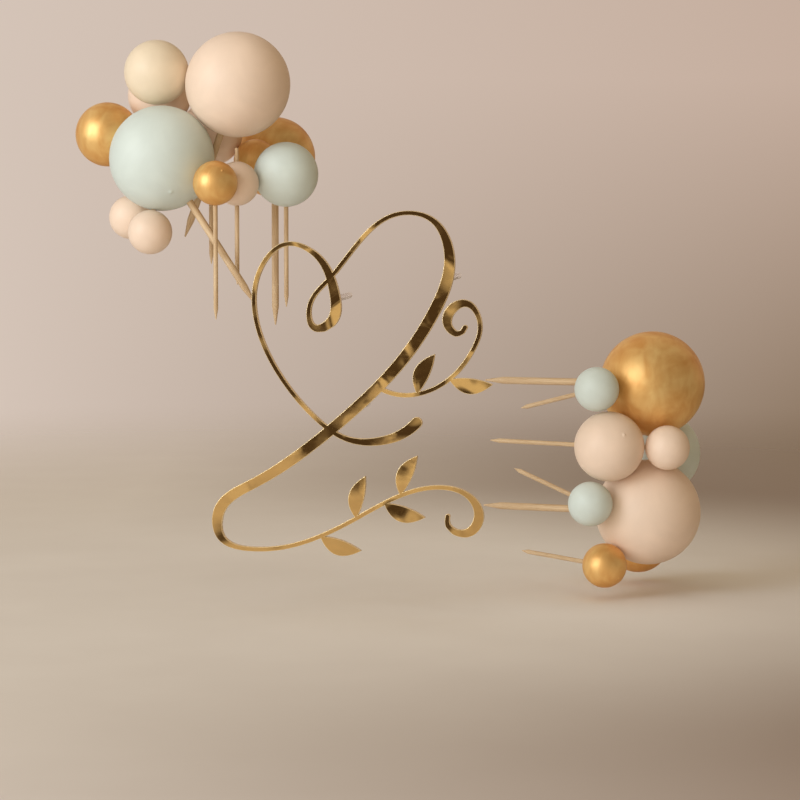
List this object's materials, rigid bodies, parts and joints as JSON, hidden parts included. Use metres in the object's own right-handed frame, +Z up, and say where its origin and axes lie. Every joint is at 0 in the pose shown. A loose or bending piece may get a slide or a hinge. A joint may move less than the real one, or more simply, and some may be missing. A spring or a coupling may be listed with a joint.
{
  "type": "cake topper",
  "caption": "Cake topper set: painted balls heaped on wooden sticks for a cake's rim and side, and a mirror-gold cut flourish on pegs for its front.",
  "frame": {"origin": "centre of the cake's foot, on the board that the cake stands on", "axes": "+Z up along the cake's axis, -Y towards the front that the flourish is on, +X to the right"},
  "size_m": [0.3039, 0.1609, 0.262],
  "materials": {
    "mint_paint": "matte pale sage-mint paint on foam",
    "peach_paint": "matte peach paint on foam",
    "cream_paint": "matte cream paint on foam",
    "gold_paint": "brushed-on satin gold paint on foam",
    "wood": "bare bamboo",
    "mirror_gold": "gold mirror acrylic, laser-cut",
    "clear_acrylic": "clear acrylic rod"
  },
  "bodies": {
    "set": {"flourish_peg_lower": "clear_acrylic", "flourish_peg_middle": "clear_acrylic", "flourish_peg_right": "clear_acrylic", "flourish_peg_upper": "clear_acrylic", "flourish_plate": "mirror_gold", "side_gold_foot_stick": "wood", "side_gold_large_ball": "gold_paint", "side_gold_large_skewer": "wood", "side_gold_rear_link": "wood", "side_mint_lower_stick": "wood", "side_mint_rear_link": "wood", "side_mint_upper_stick": "wood", "side_peach_large_ball": "peach_paint", "side_peach_large_skewer": "wood", "side_peach_middle_ball": "peach_paint", "side_peach_middle_stick": "wood", "side_peach_outer_link": "wood", "top_cream_ball": "cream_paint", "top_cream_link": "wood", "top_gold_front_ball": "gold_paint", "top_gold_front_stick": "wood", "top_gold_outer_link": "wood", "top_gold_rear_skewer": "wood", "top_gold_tucked_ball": "gold_paint", "top_gold_tucked_link": "wood", "top_mint_inner_ball": "mint_paint", "top_mint_inner_stick": "wood", "top_mint_large_ball": "mint_paint", "top_mint_large_skewer": "wood", "top_peach_front_ball": "peach_paint", "top_peach_front_stick": "wood", "top_peach_hanging_front_link": "wood", "top_peach_hanging_rear_link": "wood", "top_peach_inner_ball": "peach_paint", "top_peach_inner_stick": "wood", "top_peach_large_ball": "peach_paint", "top_peach_large_skewer": "wood", "top_peach_rear_link": "wood"},
    "top_peach_rear_ball": {"top_peach_rear_ball": "peach_paint"},
    "top_gold_outer_ball": {"top_gold_outer_ball": "gold_paint"},
    "top_peach_hanging_rear_ball": {"top_peach_hanging_rear_ball": "peach_paint"},
    "top_peach_hanging_front_ball": {"top_peach_hanging_front_ball": "peach_paint"},
    "side_peach_outer_ball": {"side_peach_outer_ball": "peach_paint"},
    "side_mint_rear_ball": {"side_mint_rear_ball": "mint_paint"},
    "side_gold_rear_ball": {"side_gold_rear_ball": "gold_paint"},
    "top_gold_rear_ball": {"top_gold_rear_ball": "gold_paint"},
    "side_mint_upper_ball": {"side_mint_upper_ball": "mint_paint"},
    "side_mint_lower_ball": {"side_mint_lower_ball": "mint_paint"},
    "side_gold_foot_ball": {"side_gold_foot_ball": "gold_paint"}
  },
  "joints": [
    {"name": "top_peach_rear_draw", "type": "slide", "parent": "set", "child": "top_peach_rear_ball", "axis": [-0.033, 0.9449, -0.3256], "range_m": [0, 0.006]},
    {"name": "top_gold_outer_draw", "type": "slide", "parent": "set", "child": "top_gold_outer_ball", "axis": [-0.6955, 0.66, 0.284], "range_m": [0, 0.006]},
    {"name": "top_peach_hanging_rear_draw", "type": "slide", "parent": "set", "child": "top_peach_hanging_rear_ball", "axis": [-0.4539, 0.4159, -0.788], "range_m": [0, 0.006]},
    {"name": "top_peach_hanging_front_draw", "type": "slide", "parent": "set", "child": "top_peach_hanging_front_ball", "axis": [-0.1476, -0.1698, -0.9744], "range_m": [0, 0.006]},
    {"name": "side_peach_outer_draw", "type": "slide", "parent": "set", "child": "side_peach_outer_ball", "axis": [0.9992, -0.0349, -0.0175], "range_m": [0, 0.006]},
    {"name": "side_mint_rear_draw", "type": "slide", "parent": "set", "child": "side_mint_rear_ball", "axis": [0.1887, 0.8172, 0.5446], "range_m": [0, 0.006]},
    {"name": "side_gold_rear_draw", "type": "slide", "parent": "set", "child": "side_gold_rear_ball", "axis": [-0.0389, 0.8902, -0.454], "range_m": [0, 0.006]},
    {"name": "top_gold_rear_draw", "type": "slide", "parent": "set", "child": "top_gold_rear_ball", "axis": [0, 0, 1], "range_m": [0, 0.006]},
    {"name": "side_mint_upper_draw", "type": "slide", "parent": "set", "child": "side_mint_upper_ball", "axis": [0.5183, -0.8295, 0.2079], "range_m": [0, 0.006]},
    {"name": "side_mint_lower_draw", "type": "slide", "parent": "set", "child": "side_mint_lower_ball", "axis": [0.5219, -0.8352, -0.1736], "range_m": [0, 0.006]},
    {"name": "side_gold_foot_draw", "type": "slide", "parent": "set", "child": "side_gold_foot_ball", "axis": [0.5736, -0.8192, 0], "range_m": [0, 0.006]}
  ]
}
